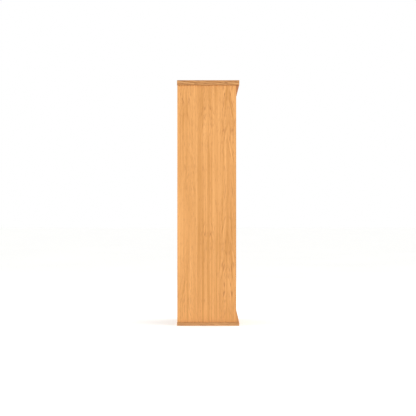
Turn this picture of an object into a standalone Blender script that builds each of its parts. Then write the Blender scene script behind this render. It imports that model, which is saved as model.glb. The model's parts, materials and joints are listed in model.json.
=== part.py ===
"""A tall two-door pantry cabinet in laminated board, with thick end slabs and bevelled mouldings.

Run with: blender --background --python part.py

Units are metres and +Z is up. The origin is on the floor under the middle of the base slab. The doors face
-Y. Every board is its own object. The doors and what is screwed to them hang from two empties that stand on
the hinge pins, so turning an empty about Z opens its door.
"""

import math

import bmesh
import bpy
from mathutils import Vector

# ---------------------------------------------------------------- driving dimensions

OVERALL_WIDTH = 0.762
OVERALL_DEPTH = 0.464
OVERALL_HEIGHT = 1.829

TOP_THICKNESS = 0.038
BASE_THICKNESS = 0.025
SIDE_OVERHANG = 0.010  # how far the slabs stand past the sides
FRONT_OVERHANG = 0.023
REAR_OVERHANG = 0.002
SLAB_ROUNDING = 0.003

BOARD = 0.018  # sides, rails and shelves
BACK_THICKNESS = 0.003
BACK_RABBET = 0.009  # how far the back is let into each side

MOULDING_HEIGHT = 0.080
MOULDING_SLOPE = 0.0185  # how much thicker a moulding is at its slab
CROWN_THIN = 0.0015  # at the door opening
BASE_THIN = 0.0035
TOE_RAIL_STEP = 0.0005  # the toe rail's top is this much below the cabinet floor

DOOR_THICKNESS = 0.016
DOOR_END_GAP = 0.002  # above and below a door
DOOR_MEETING_GAP = 0.003
NOTCH_HEIGHT = 0.110  # finger notch in each door's free edge
NOTCH_DEPTH = 0.022
NOTCH_CENTRE = 0.138  # above the middle shelf
NOTCH_STEPS = 10

SHELF_FRONT_SETBACK = 0.002  # fixed middle shelf, behind the closed door
LOOSE_SHELF_SETBACK = 0.007  # adjustable shelf, behind the closed door
LOOSE_SHELF_SIDE_GAP = 0.002
LOOSE_SHELF_REAR_GAP = 0.002
LOOSE_SHELF_PITCH = 0.288  # nine steps of the 32 mm row of holes

PIN_PEG_RADIUS = 0.0025
PIN_PEG_LENGTH = 0.0085
PIN_COLLAR_RADIUS = 0.0045
PIN_COLLAR_THICKNESS = 0.001
PIN_STUB_RADIUS = 0.003
PIN_STUB_LENGTH = 0.0075
PIN_FRONT_INSET = 0.045  # from the closed door's back to the front row of holes
PIN_REAR_INSET = 0.045  # from the back panel to the rear row of holes
PIN_SIDES = 8

HINGES_PER_DOOR = 3
HINGE_LENGTH = 0.064
HINGE_END_INSET = 0.110  # from a door's end to the middle of the nearest hinge
HINGE_MIDDLE_DROP = 0.060  # the middle hinge sits this far below the middle shelf
LEAF_THICKNESS = 0.001
SIDE_LEAF_WIDTH = 0.040
DOOR_LEAF_WIDTH = 0.030  # on the door's back
BARREL_RADIUS = 0.003
HINGE_PIN_RADIUS = 0.00125
HINGE_PIN_CLEARANCE = 0.00045
HINGE_PIN_HEAD_RADIUS = 0.0023
HINGE_PIN_HEAD_HEIGHT = 0.0012
KNUCKLES = 5
KNUCKLE_GAP = 0.0004
KNUCKLE_SETBACK = 0.0017  # from the sides' front edges back to the knuckles
LEAF_SETBACK = 0.00045  # from the door's face back to the leaves' front edges
SIDE_LEAF_GAP = 0.0004
BARREL_SIDES = 12
BORE_SIDES = 8

CATCH_SIZE = Vector((0.084, 0.018, 0.013))  # width, depth, height
MAGNET_SIZE = Vector((0.024, 0.012, 0.007))
MAGNET_OFFSET = 0.021  # from the cabinet's centre line
STRIKE_SIZE = Vector((0.028, 0.0008, 0.011))

BRACKET_LEG = 0.040
BRACKET_WIDTH = 0.020
BRACKET_THICKNESS = 0.0025
BRACKET_OFFSET = 0.250  # from the cabinet's centre line
BRACKET_HOLE_RADIUS = 0.0025

FIT = 0.0003  # joint gap between boards that touch

# ---------------------------------------------------------------- places worked out from them

DOOR_SIDE_GAP = SIDE_LEAF_GAP + 2 * (LEAF_THICKNESS + FIT)
DOOR_RECESS = KNUCKLE_SETBACK + 2 * BARREL_RADIUS + FIT  # from the sides' front edges to the door's face

SLAB_FRONT = -OVERALL_DEPTH / 2
SLAB_REAR = OVERALL_DEPTH / 2
FRONT = SLAB_FRONT + FRONT_OVERHANG  # the sides' front edges
REAR = SLAB_REAR - REAR_OVERHANG
BODY_HALF = OVERALL_WIDTH / 2 - SIDE_OVERHANG
INNER_HALF = BODY_HALF - BOARD

CARCASS_BOTTOM = BASE_THICKNESS
CARCASS_TOP = OVERALL_HEIGHT - TOP_THICKNESS
OPENING_BOTTOM = CARCASS_BOTTOM + MOULDING_HEIGHT
OPENING_TOP = CARCASS_TOP - MOULDING_HEIGHT
BACK_FRONT = REAR - BACK_THICKNESS
BOARD_REAR = BACK_FRONT - FIT

DOOR_FACE = FRONT + DOOR_RECESS
DOOR_BACK = DOOR_FACE + DOOR_THICKNESS
DOOR_BOTTOM = OPENING_BOTTOM + DOOR_END_GAP
DOOR_TOP = OPENING_TOP - DOOR_END_GAP

MIDDLE_SHELF_TOP = (OPENING_BOTTOM + CARCASS_TOP + BOARD) / 2
MIDDLE_SHELF_BOTTOM = MIDDLE_SHELF_TOP - BOARD
NOTCH_Z = MIDDLE_SHELF_TOP + NOTCH_CENTRE

PIN_FRONT_Y = DOOR_BACK + PIN_FRONT_INSET
PIN_REAR_Y = BACK_FRONT - PIN_REAR_INSET
PIN_HOLE_RADIUS = PIN_PEG_RADIUS + FIT
PIN_HOLE_DEPTH = PIN_PEG_LENGTH + FIT

# A hinge is laid out in u, inwards from the side's inner face, and y. Its pin stands at (PIVOT_U, PIVOT_Y).
PIVOT_U = FIT + BARREL_RADIUS
PIVOT_Y = DOOR_FACE - FIT - BARREL_RADIUS
PIVOT_X = INNER_HALF - PIVOT_U


def loose_shelf_bottoms():
    """Undersides of the adjustable shelves: two in each bay, evenly about the bay's middle."""
    bottoms = []
    for low, high in ((OPENING_BOTTOM, MIDDLE_SHELF_BOTTOM), (MIDDLE_SHELF_TOP, CARCASS_TOP)):
        middle = (low + high - BOARD) / 2
        bottoms += [middle - LOOSE_SHELF_PITCH / 2, middle + LOOSE_SHELF_PITCH / 2]
    return bottoms


def hinge_heights():
    """Middles of one door's hinges, from the bottom up. The middle one clears the fixed shelf."""
    ends = [DOOR_BOTTOM + HINGE_END_INSET, DOOR_TOP - HINGE_END_INSET]
    return [ends[0], MIDDLE_SHELF_BOTTOM - HINGE_MIDDLE_DROP, ends[1]]


# ---------------------------------------------------------------- materials


def material(name, colour, roughness, metallic=0.0):
    made = bpy.data.materials.new(name)
    made.use_nodes = True
    shader = made.node_tree.nodes["Principled BSDF"]
    shader.inputs["Base Color"].default_value = (*colour, 1.0)
    shader.inputs["Roughness"].default_value = roughness
    shader.inputs["Metallic"].default_value = metallic
    return made


# ---------------------------------------------------------------- mesh building


def face_out(shape):
    """Turns every face outwards, after the vertices have been moved or mirrored."""
    shape.normal_update()
    bmesh.ops.recalc_face_normals(shape, faces=shape.faces)


def box(low, high):
    """A closed box between two corners."""
    made = bmesh.new()
    bmesh.ops.create_cube(made, size=1.0)
    low, high = Vector(low), Vector(high)
    for vertex in made.verts:
        vertex.co = [low[i] if vertex.co[i] < 0 else high[i] for i in range(3)]
    face_out(made)
    return made


def prism(outline, place, sweep):
    """A closed bmesh: the flat outline, its points placed in 3D by place(a, b), swept along a vector."""
    made = bmesh.new()
    face = made.faces.new([made.verts.new(place(a, b)) for a, b in outline])
    swept = bmesh.ops.extrude_face_region(made, geom=[face])
    moved = [item for item in swept["geom"] if isinstance(item, bmesh.types.BMVert)]
    bmesh.ops.translate(made, verts=moved, vec=sweep)
    face_out(made)
    return made


def turned(profile, sides):
    """A closed solid turned about Z from (radius, height) points, whose first and last rings are capped."""
    made = bmesh.new()
    rings = []
    for radius, height in profile:
        angles = [2 * math.pi * i / sides for i in range(sides)]
        rings.append([made.verts.new((radius * math.cos(a), radius * math.sin(a), height)) for a in angles])
    for lower, upper in zip(rings, rings[1:]):
        for i in range(sides):
            j = (i + 1) % sides
            made.faces.new((lower[i], lower[j], upper[j], upper[i]))
    made.faces.new(rings[0])
    made.faces.new(rings[-1])
    face_out(made)
    return made


def joined(pieces):
    """Several bmeshes as one, still as separate bodies."""
    mesh = bpy.data.meshes.new("joined")
    made = bmesh.new()
    for piece in pieces:
        piece.to_mesh(mesh)
        made.from_mesh(mesh)
        piece.free()
    bpy.data.meshes.remove(mesh)
    return made


def add(name, shape, finish, parent, smooth=False):
    """The bmesh as an object. Its origin goes to its parent's, which for a door is on the hinge pins."""
    bmesh.ops.translate(shape, verts=shape.verts, vec=-parent.location)
    mesh = bpy.data.meshes.new(name)
    shape.to_mesh(mesh)
    shape.free()
    mesh.materials.append(finish)
    if smooth:
        mesh.shade_smooth()
        mesh.set_sharp_from_angle(angle=math.radians(40))
    made = bpy.data.objects.new(name, mesh)
    bpy.context.scene.collection.objects.link(made)
    made.parent = parent
    return made


def combine(target, name, shape, operation, parent):
    """Cuts or joins target with a hidden helper made from the bmesh."""
    helper = add(name, shape, target.data.materials[0], parent)
    helper.hide_render = True
    helper.display_type = "WIRE"
    modifier = target.modifiers.new(name, "BOOLEAN")
    modifier.operation = operation
    modifier.object = helper


def rounded(target, width):
    modifier = target.modifiers.new("rounding", "BEVEL")
    modifier.width = width
    modifier.segments = 2


def axis_empty(name, location):
    made = bpy.data.objects.new(name, None)
    made.location = location
    bpy.context.scene.collection.objects.link(made)
    return made


# ---------------------------------------------------------------- carcass


def slabs(root, finish):
    """The thick top and the base, which stand past the sides at the front and both ends."""
    half = OVERALL_WIDTH / 2
    for name, low, high in (
        ("top_panel", CARCASS_TOP, OVERALL_HEIGHT),
        ("base_panel", 0.0, BASE_THICKNESS),
    ):
        slab = box((-half, SLAB_FRONT, low), (half, SLAB_REAR, high))
        rounded(add(name, slab, finish, root), SLAB_ROUNDING)


def pin_hole_cutter(side):
    """The blind holes that one side's shelf pins sit in."""
    holes = []
    for bottom in loose_shelf_bottoms():
        for y in (PIN_FRONT_Y, PIN_REAR_Y):
            hole = turned([(PIN_HOLE_RADIUS, -PIN_HOLE_DEPTH), (PIN_HOLE_RADIUS, PIN_HOLE_DEPTH)], PIN_SIDES)
            stand_on_side(hole, side, y, bottom - PIN_STUB_RADIUS - FIT)
            holes.append(hole)
    return joined(holes)


def stand_on_side(shape, side, y, z):
    """Turns a shape made along Z so that it points inwards from a side's inner face, at (y, z)."""
    for vertex in shape.verts:
        across, up, inwards = vertex.co
        vertex.co = (side * (INNER_HALF - inwards), y + across, z + up)
    face_out(shape)


def side_panel(side, name, root, finish):
    """One side, with the rabbet for the back along its rear inner corner and its shelf-pin holes."""
    outer, inner, rabbet = BODY_HALF, INNER_HALF, INNER_HALF + BACK_RABBET
    outline = [
        (outer, FRONT),
        (inner, FRONT),
        (inner, BACK_FRONT - FIT),
        (rabbet, BACK_FRONT - FIT),
        (rabbet, REAR),
        (outer, REAR),
    ]
    low = CARCASS_BOTTOM + FIT
    high = CARCASS_TOP - FIT
    panel = prism(outline, lambda x, y: (side * x, y, low), (0, 0, high - low))
    made = add(name, panel, finish, root)
    combine(made, name + "_pin_holes", pin_hole_cutter(side), "DIFFERENCE", root)


def back_panels(root, finish):
    """Two thin panels let into the sides' rabbets, which meet behind the middle of the fixed shelf."""
    half = INNER_HALF + BACK_RABBET - FIT
    split = (MIDDLE_SHELF_BOTTOM + MIDDLE_SHELF_TOP) / 2
    for name, low, high in (
        ("lower_back_panel", CARCASS_BOTTOM + FIT, split - FIT),
        ("upper_back_panel", split + FIT, CARCASS_TOP - FIT),
    ):
        add(name, box((-half, BACK_FRONT, low), (half, REAR, high)), finish, root)


def mouldings(root, finish):
    """The crown and the base moulding: one section, thick at its slab and thin at the door opening."""
    back = FRONT - FIT
    for name, thin, thick_end, thin_end in (
        ("crown_moulding", CROWN_THIN, CARCASS_TOP - FIT, OPENING_TOP),
        ("base_moulding", BASE_THIN, CARCASS_BOTTOM + FIT, OPENING_BOTTOM),
    ):
        outline = [
            (back, thick_end),
            (back - thin - MOULDING_SLOPE, thick_end),
            (back - thin, thin_end),
            (back, thin_end),
        ]
        bar = prism(outline, lambda y, z: (-BODY_HALF, y, z), (2 * BODY_HALF, 0, 0))
        add(name, bar, finish, root)


def rails(root, finish):
    """The rails that hold the sides apart behind each moulding."""
    half = INNER_HALF - FIT
    for name, low, high in (
        ("header_rail", OPENING_TOP, CARCASS_TOP - FIT),
        ("toe_rail", CARCASS_BOTTOM + FIT, OPENING_BOTTOM - TOE_RAIL_STEP),
    ):
        add(name, box((-half, FRONT, low), (half, FRONT + BOARD, high)), finish, root)


def fixed_shelves(root, finish):
    """The cabinet floor, behind the toe rail, and the fixed shelf that ties the sides at mid height."""
    half = INNER_HALF - FIT
    floor_front = FRONT + BOARD + FIT
    floor = box((-half, floor_front, OPENING_BOTTOM - BOARD), (half, BOARD_REAR, OPENING_BOTTOM))
    add("floor_shelf", floor, finish, root)
    middle_front = DOOR_BACK + SHELF_FRONT_SETBACK
    middle = box((-half, middle_front, MIDDLE_SHELF_BOTTOM), (half, BOARD_REAR, MIDDLE_SHELF_TOP))
    add("middle_shelf", middle, finish, root)


def adjustable_shelves(root, finish, pin_finish):
    """Four loose shelves, each on four pins."""
    half = INNER_HALF - LOOSE_SHELF_SIDE_GAP
    front = DOOR_BACK + LOOSE_SHELF_SETBACK
    rear = BACK_FRONT - LOOSE_SHELF_REAR_GAP
    for i, bottom in enumerate(loose_shelf_bottoms(), start=1):
        shelf = box((-half, front, bottom), (half, rear, bottom + BOARD))
        add(f"adjustable_shelf_{i}", shelf, finish, root)
        for side, hand in ((-1, "left"), (1, "right")):
            for y, end in ((PIN_FRONT_Y, "front"), (PIN_REAR_Y, "rear")):
                pin = shelf_pin()
                stand_on_side(pin, side, y, bottom - PIN_STUB_RADIUS - FIT)
                add(f"shelf_pin_{i}_{hand}_{end}", pin, pin_finish, root, smooth=True)


def shelf_pin():
    """A pin made along Z: the peg goes into the side, the collar stops it and the shelf lies on the stub."""
    collar_end = FIT + PIN_COLLAR_THICKNESS
    return turned(
        [
            (PIN_PEG_RADIUS, -PIN_PEG_LENGTH),
            (PIN_PEG_RADIUS, FIT),
            (PIN_COLLAR_RADIUS, FIT),
            (PIN_COLLAR_RADIUS, collar_end),
            (PIN_STUB_RADIUS, collar_end),
            (PIN_STUB_RADIUS, collar_end + PIN_STUB_LENGTH),
        ],
        PIN_SIDES,
    )


# ---------------------------------------------------------------- doors


def door(side, name, parent, finish):
    """One flat door with an arc-shaped finger notch in its free edge."""
    hinged = INNER_HALF - DOOR_SIDE_GAP
    free = DOOR_MEETING_GAP / 2
    radius = ((NOTCH_HEIGHT / 2) ** 2 + NOTCH_DEPTH**2) / (2 * NOTCH_DEPTH)
    centre = free + NOTCH_DEPTH - radius
    reach = math.asin(NOTCH_HEIGHT / 2 / radius)
    angles = [reach * (2 * i / NOTCH_STEPS - 1) for i in range(NOTCH_STEPS + 1)]
    notch = [(centre + radius * math.cos(a), NOTCH_Z + radius * math.sin(a)) for a in angles]
    outline = [(hinged, DOOR_TOP), (hinged, DOOR_BOTTOM), (free, DOOR_BOTTOM), *notch, (free, DOOR_TOP)]
    panel = prism(outline, lambda x, z: (side * x, DOOR_FACE, z), (0, DOOR_THICKNESS, 0))
    add(name, panel, finish, parent)


# ---------------------------------------------------------------- hinges


def knuckle_spans(height, own):
    """Lowest and highest z of a leaf's knuckles. own is 0 for the side leaf's, 1 for the door leaf's."""
    length = (HINGE_LENGTH - (KNUCKLES - 1) * KNUCKLE_GAP) / KNUCKLES
    bottom = height - HINGE_LENGTH / 2
    spans = []
    for i in range(own, KNUCKLES, 2):
        low = bottom + i * (length + KNUCKLE_GAP)
        spans.append((low, low + length))
    return spans


def knuckle(side, leaf_u, tab_end, low, high):
    """A bored barrel with the tab that runs back into its leaf, whose outer face is at leaf_u."""
    thin = LEAF_THICKNESS / 20  # the tab is this much inside the leaf's faces, so that the two join cleanly
    near, far = leaf_u + thin - PIVOT_U, leaf_u + LEAF_THICKNESS - thin - PIVOT_U
    start = math.atan2(math.sqrt(BARREL_RADIUS**2 - far**2), far)
    end = math.atan2(math.sqrt(BARREL_RADIUS**2 - near**2), near) - 2 * math.pi
    step = (end - start) / BARREL_SIDES
    outer = [(near, tab_end), (far, tab_end)]
    for i in range(BARREL_SIDES + 1):
        angle = start + i * step
        outer.append((BARREL_RADIUS * math.cos(angle), BARREL_RADIUS * math.sin(angle)))
    bore_radius = HINGE_PIN_RADIUS + HINGE_PIN_CLEARANCE
    bore = []
    for i in range(BORE_SIDES):
        angle = 2 * math.pi * i / BORE_SIDES
        bore.append((bore_radius * math.cos(angle), bore_radius * math.sin(angle)))

    made = bmesh.new()
    edges = []
    for loop in (outer, bore):
        ring = [made.verts.new((side * (PIVOT_X - u), PIVOT_Y + v, low)) for u, v in loop]
        edges += [made.edges.new((ring[i], ring[(i + 1) % len(ring)])) for i in range(len(ring))]
    bmesh.ops.triangle_fill(made, use_beauty=True, edges=edges)
    swept = bmesh.ops.extrude_face_region(made, geom=made.faces[:])
    moved = [item for item in swept["geom"] if isinstance(item, bmesh.types.BMVert)]
    bmesh.ops.translate(made, verts=moved, vec=(0, 0, high - low))
    face_out(made)
    return made


def side_leaf(side, name, height, root, finish):
    """The flat leaf on the side's inner face, with the two end knuckles and the middle one."""
    near, far = SIDE_LEAF_GAP, SIDE_LEAF_GAP + LEAF_THICKNESS
    front = DOOR_FACE + LEAF_SETBACK
    corners = (side * (INNER_HALF - near), side * (INNER_HALF - far))
    low = (min(corners), front, height - HINGE_LENGTH / 2)
    high = (max(corners), PIVOT_Y + SIDE_LEAF_WIDTH, height + HINGE_LENGTH / 2)
    leaf = add(name, box(low, high), finish, root, smooth=True)
    tab_end = front - PIVOT_Y + LEAF_THICKNESS
    barrels = [knuckle(side, near, tab_end, *span) for span in knuckle_spans(height, 0)]
    combine(leaf, name + "_knuckles", joined(barrels), "UNION", root)


def door_leaf(side, name, height, parent, finish):
    """The leaf that wraps round the door's edge on to its back, with two knuckles between the side leaf's."""
    far = DOOR_SIDE_GAP - FIT
    near = far - LEAF_THICKNESS
    front = DOOR_FACE + LEAF_SETBACK
    outline = [
        (near, front),
        (far, front),
        (far, DOOR_BACK + FIT),
        (near + DOOR_LEAF_WIDTH, DOOR_BACK + FIT),
        (near + DOOR_LEAF_WIDTH, DOOR_BACK + FIT + LEAF_THICKNESS),
        (near, DOOR_BACK + FIT + LEAF_THICKNESS),
    ]
    bottom = height - HINGE_LENGTH / 2
    wrapped = prism(outline, lambda u, y: (side * (INNER_HALF - u), y, bottom), (0, 0, HINGE_LENGTH))
    leaf = add(name, wrapped, finish, parent, smooth=True)
    tab_end = front - PIVOT_Y + LEAF_THICKNESS
    barrels = [knuckle(side, near, tab_end, *span) for span in knuckle_spans(height, 1)]
    combine(leaf, name + "_knuckles", joined(barrels), "UNION", parent)


def hinge_pin(side, name, height, root, finish):
    """The pin through all five knuckles, with a head at each end."""
    half = HINGE_LENGTH / 2 + FIT
    profile = [
        (HINGE_PIN_HEAD_RADIUS, -half - HINGE_PIN_HEAD_HEIGHT),
        (HINGE_PIN_HEAD_RADIUS, -half),
        (HINGE_PIN_RADIUS, -half),
        (HINGE_PIN_RADIUS, half),
        (HINGE_PIN_HEAD_RADIUS, half),
        (HINGE_PIN_HEAD_RADIUS, half + HINGE_PIN_HEAD_HEIGHT),
    ]
    pin = turned(profile, BORE_SIDES)
    bmesh.ops.translate(pin, verts=pin.verts, vec=(side * PIVOT_X, PIVOT_Y, height))
    add(name, pin, finish, root, smooth=True)


# ---------------------------------------------------------------- catch and wall brackets


def magnetic_catch(root, doors, plastic, magnet_finish, steel):
    """A double catch under the middle shelf: a magnet for each door, and a strike plate on its back."""
    shelf_front = DOOR_BACK + SHELF_FRONT_SETBACK
    top = MIDDLE_SHELF_BOTTOM - FIT
    half = CATCH_SIZE.x / 2
    body = box((-half, shelf_front, top - CATCH_SIZE.z), (half, shelf_front + CATCH_SIZE.y, top))
    housing = add("catch_housing", body, plastic, root)
    middle = top - CATCH_SIZE.z / 2
    pockets = []
    for side in (-1, 1):
        centre = side * MAGNET_OFFSET
        room = MAGNET_SIZE / 2 + Vector((FIT, FIT, FIT))
        pocket_front, pocket_rear = shelf_front - CATCH_SIZE.y, shelf_front + MAGNET_SIZE.y + FIT
        low = (centre - room.x, pocket_front, middle - room.z)
        pockets.append(box(low, (centre + room.x, pocket_rear, middle + room.z)))
    combine(housing, "catch_pockets", joined(pockets), "DIFFERENCE", root)
    for side, hand in ((-1, "left"), (1, "right")):
        centre = side * MAGNET_OFFSET
        reach = Vector((MAGNET_SIZE.x / 2, 0, MAGNET_SIZE.z / 2))
        low = Vector((centre, shelf_front - FIT, middle)) - reach
        high = Vector((centre, shelf_front - FIT + MAGNET_SIZE.y, middle)) + reach
        add(f"catch_magnet_{hand}", box(low, high), magnet_finish, root)
        plate = Vector((STRIKE_SIZE.x / 2, 0, STRIKE_SIZE.z / 2))
        face = DOOR_BACK + FIT
        low = Vector((centre, face, middle)) - plate
        high = Vector((centre, face + STRIKE_SIZE.y, middle)) + plate
        add(f"{hand}_strike_plate", box(low, high), steel, doors[side])


def wall_brackets(root, finish):
    """Two angle brackets under the top, against the back, for the screws that tie the cabinet to a wall."""
    back, top, thick = BOARD_REAR, CARCASS_TOP - FIT, BRACKET_THICKNESS
    outline = [
        (back, top),
        (back - BRACKET_LEG, top),
        (back - BRACKET_LEG, top - thick),
        (back - thick, top - thick),
        (back - thick, top - BRACKET_LEG),
        (back, top - BRACKET_LEG),
    ]
    for side, hand in ((-1, "left"), (1, "right")):
        left = side * BRACKET_OFFSET - BRACKET_WIDTH / 2
        angle = prism(outline, lambda y, z: (left, y, z), (BRACKET_WIDTH, 0, 0))
        bracket = add(f"wall_bracket_{hand}", angle, finish, root)
        combine(bracket, f"wall_bracket_{hand}_holes", bracket_holes(side), "DIFFERENCE", root)


def bracket_holes(side):
    """One hole through each leg of a bracket, in the leg's middle."""
    cutters = []
    middle = BRACKET_LEG / 2
    profile = [(BRACKET_HOLE_RADIUS, -2 * BRACKET_THICKNESS), (BRACKET_HOLE_RADIUS, 2 * BRACKET_THICKNESS)]
    for upright in (True, False):
        hole = turned(profile, BORE_SIDES)
        for vertex in hole.verts:
            a, b, c = vertex.co
            if upright:
                place = (a, BOARD_REAR - BRACKET_THICKNESS / 2 + c, CARCASS_TOP - FIT - middle + b)
            else:
                place = (a, BOARD_REAR - middle + b, CARCASS_TOP - FIT - BRACKET_THICKNESS / 2 + c)
            vertex.co = Vector(place) + Vector((side * BRACKET_OFFSET, 0, 0))
        face_out(hole)
        cutters.append(hole)
    return joined(cutters)


# ---------------------------------------------------------------- the whole cabinet


def build():
    for leftover in list(bpy.data.objects):
        bpy.data.objects.remove(leftover)

    laminate = material("oak_laminate", (0.80, 0.40, 0.135), 0.45)
    trim = material("oak_trim", (0.60, 0.30, 0.11), 0.45)
    hardboard = material("hardboard", (0.30, 0.17, 0.09), 0.7)
    brass = material("antique_brass", (0.45, 0.30, 0.12), 0.35, 1.0)
    nickel = material("nickelled_steel", (0.60, 0.58, 0.55), 0.3, 1.0)
    zinc = material("zinc_plated_steel", (0.55, 0.56, 0.58), 0.4, 1.0)
    plastic = material("catch_plastic", (0.16, 0.09, 0.05), 0.5)
    ferrite = material("ferrite", (0.05, 0.05, 0.055), 0.6)

    root = axis_empty("cabinet", (0, 0, 0))
    slabs(root, trim)
    mouldings(root, trim)
    side_panel(-1, "left_side_panel", root, laminate)
    side_panel(1, "right_side_panel", root, laminate)
    back_panels(root, hardboard)
    rails(root, laminate)
    fixed_shelves(root, laminate)
    adjustable_shelves(root, laminate, nickel)

    doors = {}
    for side, hand in ((-1, "left"), (1, "right")):
        axis = axis_empty(f"{hand}_door_axis", (side * PIVOT_X, PIVOT_Y, 0))
        doors[side] = axis
        door(side, f"{hand}_door", axis, laminate)
        for i, height in enumerate(hinge_heights(), start=1):
            side_leaf(side, f"{hand}_hinge_{i}_side_leaf", height, root, brass)
            door_leaf(side, f"{hand}_hinge_{i}_door_leaf", height, axis, brass)
            hinge_pin(side, f"{hand}_hinge_{i}_pin", height, root, brass)

    magnetic_catch(root, doors, plastic, ferrite, zinc)
    wall_brackets(root, zinc)


build()
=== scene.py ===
"""The looks of a tall oak-laminate pantry cabinet, built round its frame. Metres, +Z up, doors facing -Y."""

import json
import math

import bmesh
import bpy
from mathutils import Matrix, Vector


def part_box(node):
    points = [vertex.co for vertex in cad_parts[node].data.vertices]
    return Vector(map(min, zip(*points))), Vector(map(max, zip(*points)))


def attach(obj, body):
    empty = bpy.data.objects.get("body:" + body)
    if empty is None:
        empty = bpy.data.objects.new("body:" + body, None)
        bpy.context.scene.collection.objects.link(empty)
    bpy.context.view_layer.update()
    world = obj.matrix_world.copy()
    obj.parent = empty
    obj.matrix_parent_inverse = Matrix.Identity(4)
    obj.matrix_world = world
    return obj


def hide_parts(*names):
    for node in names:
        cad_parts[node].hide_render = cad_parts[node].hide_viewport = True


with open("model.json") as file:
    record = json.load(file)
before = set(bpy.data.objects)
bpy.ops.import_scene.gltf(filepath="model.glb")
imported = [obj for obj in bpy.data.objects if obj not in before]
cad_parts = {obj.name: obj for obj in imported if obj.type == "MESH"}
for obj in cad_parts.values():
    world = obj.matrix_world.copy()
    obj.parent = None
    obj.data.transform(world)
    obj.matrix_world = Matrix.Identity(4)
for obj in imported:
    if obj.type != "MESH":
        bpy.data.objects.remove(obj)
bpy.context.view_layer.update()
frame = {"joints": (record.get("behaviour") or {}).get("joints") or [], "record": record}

# ------------------------------------------------------------ camera
# A long lens, square to the cabinet's left side, with the doors to the right of the picture and the eye a
# little below the cabinet's middle.

VIEW_WIDTH = 3.096  # of the frame, at the cabinet's side
VIEW_DROP = 0.037  # of the lens, below the cabinet's middle
VIEW_ASIDE = 0.0012  # of the lens, towards the back
VIEW_DISTANCE = 12.0

slab_low, slab_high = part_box("top_panel")
cabinet_height = slab_high.z

camera = bpy.data.objects.new("camera", bpy.data.cameras.new("camera"))
camera.data.sensor_width = 36.0
camera.data.lens = camera.data.sensor_width * VIEW_DISTANCE / VIEW_WIDTH
camera.data.clip_end = 200.0
camera.location = (slab_low.x - VIEW_DISTANCE, VIEW_ASIDE, cabinet_height / 2 - VIEW_DROP)
camera.rotation_euler = (math.pi / 2, 0.0, -math.pi / 2)
bpy.context.scene.collection.objects.link(camera)
bpy.context.scene.camera = camera

# ------------------------------------------------------------ side panels
# Particle board faced on both sides with printed oak paper under a satin melamine coat, the grain upright.
# The front edge carries a plastic band of the same print, and the rear and end edges are bare board. Rows of
# 5 mm holes for the shelf pins are drilled in the inner faces.

HANDS = ((-1, "left"), (1, "right"))
EDGE_EASE = 0.0007  # a sanded arris
HOLE_PITCH = 0.032
HOLES_EACH_WAY = 2  # spare holes above and below each shelf's own
HOLE_RADIUS = 0.0026
HOLE_DEPTH = 0.009
ROUND_SIDES = 20


def linear(colour):
    """An sRGB hex value as the linear colour that a shader takes."""
    parts = [int(colour[i : i + 2], 16) / 255 for i in (1, 3, 5)]
    return (*(p / 12.92 if p <= 0.04045 else ((p + 0.055) / 1.055) ** 2.4 for p in parts), 1.0)


def add_node(tree, kind, settings, links=()):
    """Adds one node. A setting is an input's name or number, or a property's name, with its value. A link is
    the input it goes to, the node it comes from and that node's output."""
    made = tree.nodes.new(kind)
    for name, value in settings.items():
        if isinstance(name, str) and name not in made.inputs:
            setattr(made, name, value)
        elif isinstance(value, str) and value.startswith("#"):
            made.inputs[name].default_value = linear(value)
        else:
            made.inputs[name].default_value = value
    for to_input, source, output in links:
        tree.links.new(source.outputs[output], made.inputs[to_input])
    return made


def new_material(name, **shader_inputs):
    """A material with its shader's constant inputs set, and the two nodes that every finish starts from."""
    made = bpy.data.materials.new(name)
    made.use_nodes = True
    tree = made.node_tree
    shader = tree.nodes["Principled BSDF"]
    for key, value in shader_inputs.items():
        shader.inputs[key.replace("_", " ").title().replace("Ior", "IOR")].default_value = value
    place = add_node(tree, "ShaderNodeTexCoord", {})
    return made, tree, shader, place


def noise_in(tree, place, scale, detail, **more):
    """Noise through the piece's own space."""
    settings = {"Scale": scale, "Detail": detail, **more}
    return add_node(tree, "ShaderNodeTexNoise", settings, [("Vector", place, "Object")])


def colour_by_ramp(tree, source, output, stops):
    """A colour ramp. Its stops are positions and hex colours, in order."""
    ramp = add_node(tree, "ShaderNodeValToRGB", {}, [("Fac", source, output)])
    for _ in stops[2:]:
        ramp.color_ramp.elements.new(0.5)
    for stop, (position, colour) in zip(ramp.color_ramp.elements, stops):
        stop.position = position
        stop.color = linear(colour)
    return ramp


def press_in(tree, shader, source, output, strength, depth):
    """Fine relief on the face, no more than depth high."""
    settings = {"Strength": strength, "Distance": depth}
    bump = add_node(tree, "ShaderNodeBump", settings, [("Height", source, output)])
    tree.links.new(bump.outputs["Normal"], shader.inputs["Normal"])


X, Y, Z = "X", "Y", "Z"
OAK_LEAF = 0.150  # width of one leaf of the printed veneer, whose figure has its heart in the middle
OAK_RING = 0.011  # the growth rings are drawn three times as wide as oak's, or they would blur away
OAK_PEAK = 0.13  # from one cathedral's point to the next
OAK_PORE = 0.0036  # so are the pores, which are a third of this across
OAK_PORE_LENGTH = 0.050
OAK_CROWD_LENGTH = 0.055  # of the darker dashes where the pores crowd together
OAK_STREAK = 0.028  # width of the broad streaks
OAK_LINE = 0.0085  # and of the fine ones
OAK_SWAY = 0.110  # how far the heart can wander
LEAF_SEED = 13.9  # sets one leaf's figure apart from the next
STREAK_TONE, LINE_TONE, RING_TONE, CLOUD_TONE, LEAF_TONE = 1.15, 0.55, 1.5, 0.30, 0.25


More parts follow.
